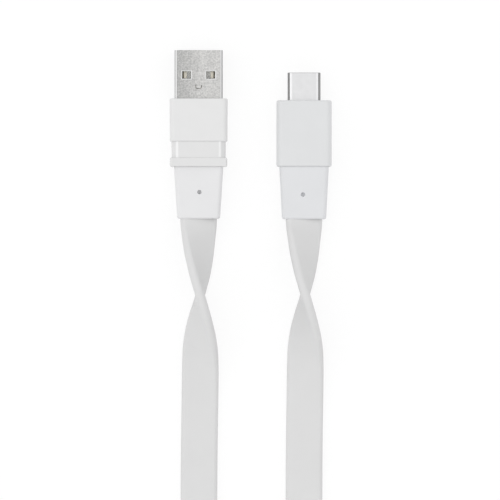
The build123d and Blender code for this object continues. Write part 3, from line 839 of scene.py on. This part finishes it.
def modelBoot(node, c, shape):
    low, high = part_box(node)
    centre = (low + high) / 2
    length = high.y - low.y
    size = (c["width"] * mm, length, c["height"] * mm)
    boot = addBlock(node + "_moulded", size, centre)
    resizeFace(boot, backFace, (c["endWidth"] / c["width"], 1, c["endHeight"] / c["height"]))
    bevelEdges(boot, lambda m, w: abs(w.y) > 0.9, shape["sideR"] * mm, 7)
    easeEnds(boot, shape["endR"] * mm, 4, (False, True))
    mouth = addBlock("mouth", (shape["mouthW"] * mm, 2 * shape["mouthDeep"] * mm, shape["mouthH"] * mm),
                     (centre.x, low.y, centre.z))
    bevelEdges(mouth, alongY, shape["mouthR"] * mm, 4)
    cutWith(boot, mouth)
    # the core pin's hole, sunk straight down from the sloping top
    aside, back = (v * mm for v in c["pin"])
    fall = (c["height"] - c["endHeight"]) * mm / 2
    topZ = high.z - fall * back / length
    clearPick()
    bpy.ops.mesh.primitive_cylinder_add(
        vertices=40, radius=shape["pinD"] * mm / 2, depth=2 * c["pinDeep"] * mm,
        location=(centre.x + aside, high.y - back, topZ))
    pin = bpy.context.object
    bpy.ops.object.transform_apply(location=True, rotation=True, scale=True)
    cutWith(boot, pin)
    easeEdges(boot, shape["ease"] * mm, 2, 50)
    finishPiece(boot, plastics[c["finish"]], c["slot"], node)


cShellSpec = {"wall": 0.2, "round": 1.19, "lip": 0.09, "lineX": 3.0, "line": 0.07, "lineDeep": 0.03}


def modelCShell(c):
    centre, size = middleOf("usb_c_shell")
    shell = addBlock("usb_c_shell_drawn", size, centre)
    bevelEdges(shell, alongY, c["round"] * mm, 14)
    openEnds(shell, c["wall"] * mm)
    easeEdges(shell, c["lip"] * mm, 3, 60)
    drawn = addBlock("drawn_line", (c["line"] * mm, 2 * size.y, 2 * c["lineDeep"] * mm),
                     (centre.x + c["lineX"] * mm, centre.y, centre.z + size.z / 2))
    cutWith(shell, drawn)
    finishPiece(shell, metals["nickel"], "polished_steel", "usb_c_shell")


tieSpec = {"thick": 0.95, "cornerR": 2.0, "lapWide": 16.0, "lapR": 2.4, "snug": 3.1, "lapRise": 1.0, "ease": 0.18}


def modelTie(c):
    low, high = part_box("cable_tie")
    high.x -= c["snug"] * mm  # drawn up to the strands on the side where there is one fewer
    centre = (low + high) / 2
    thick = c["thick"] * mm
    bandTop = high.z - c["lapRise"] * mm
    size = (high.x - low.x, high.y - low.y, bandTop - low.z)
    strap = addBlock("hook_and_loop_strap", size, (centre.x, centre.y, low.z + size[2] / 2))
    bevelEdges(strap, alongY, c["cornerR"] * mm, 6)
    openEnds(strap, thick)
    lap = addBlock("lap", (c["lapWide"] * mm, size[1], thick), (centre.x, centre.y, bandTop + thick / 2))
    bevelEdges(lap, lambda m, w: abs(w.z) > 0.99 and m.x > centre.x, c["lapR"] * mm, 6)
    cutWith(strap, lap, "UNION")
    easeEdges(strap, c["ease"] * mm, 2, 50)
    finishPiece(strap, strapNap, "tie_strap", "cable_tie")
    return strap


modelAShell(aShellSpec)
for node, spec in coverSpec.items():
    modelCover(node, spec)
modelCollar(collarSpec)
for node, spec in bootSpec.items():
    modelBoot(node, spec, bootShape)
modelCShell(cShellSpec)
tie = modelTie(tieSpec)
print("plugs modelled")

# ---- floor, lamps and backdrop

studio = {
    "floorHalf": 1.5, "floorGlow": 0.84,
    "skyStops": ((0.0, 0.58), (0.24, 0.62), (0.34, 0.95), (0.6, 1.0), (1.0, 1.0)), "skyLevel": 0.86,
    "glossShare": 0.35,
    "boxes": {
        "boxLeft": {"place": (-0.72, 0.25, 1.02), "power": 2.3, "size": 1.4},
        "boxRight": {"place": (0.72, 0.25, 1.02), "power": 1.3, "size": 1.1},
        "boxLow": {"place": (-0.95, 0.0, 0.40), "power": 0.7, "size": 0.8},
    },
}


def addFloor(s):
    clearPick()
    bpy.ops.mesh.primitive_plane_add(size=2 * s["floorHalf"], location=(0, 0, -0.00005))
    floor = bpy.context.object
    floor.name = "floor"
    bpy.ops.object.transform_apply(location=True, rotation=True, scale=True)
    finish = Finish("floorPaper", Roughness=0.9, Specular_IOR_Level=0.0)
    finish.feed(Base_Color=(0.97, 0.97, 0.97, 1))
    tree = finish.tree
    looked = finish.looked(s["glossShare"]) * s["floorGlow"]
    glow = finish.node("Emission", Color=(1, 1, 1, 1), Strength=1.02)
    both = finish.node("MixShader", i0=looked, i1=Wire(tree, finish.shader.outputs[0]), i2=glow)
    plug(tree, both, tree.nodes["Material Output"].inputs["Surface"])
    floor.data.materials.append(finish.material)


def addSky(s):
    # overhead light that falls away towards the horizon; plain white where it is looked at
    world = bpy.data.worlds.new("sky")
    bpy.context.scene.world = world
    world.use_nodes = True
    sky = Finish.over(world.node_tree)
    up = sky.node("SeparateXYZ", output="Z", Vector=sky.node("TexCoord", output="Generated"))
    ramp = world.node_tree.nodes.new("ShaderNodeValToRGB")
    plug(world.node_tree, up, ramp.inputs[0])
    band = ramp.color_ramp
    while len(band.elements) < len(s["skyStops"]):
        band.elements.new(0.5)
    for element, (at, level) in zip(band.elements, s["skyStops"]):
        element.position, element.color = at, (level, level, level, 1)
    shade = Wire(world.node_tree, ramp.outputs[0])
    seen = sky.node("LightPath", output="Is Camera Ray")
    colour = sky.blend(seen, shade, (1, 1, 1, 1))
    strength = seen * (1 - s["skyLevel"]) + s["skyLevel"]
    ground = world.node_tree.nodes["Background"]
    plug(world.node_tree, colour, ground.inputs["Color"])
    plug(world.node_tree, strength, ground.inputs["Strength"])


def addBoxes(s):
    # a soft box on either side; their reflections run along the folds
    for name, box in s["boxes"].items():
        data = bpy.data.lights.new(name, "AREA")
        data.energy, data.size = box["power"], box["size"]
        lamp = bpy.data.objects.new(name, data)
        lamp.location = box["place"]
        lamp.rotation_euler = Vector(box["place"]).to_track_quat("Z", "Y").to_euler()
        bpy.context.scene.collection.objects.link(lamp)


addFloor(studio)
addSky(studio)
addBoxes(studio)
bpy.context.scene.view_settings.view_transform = "Standard"
print("studio lit")
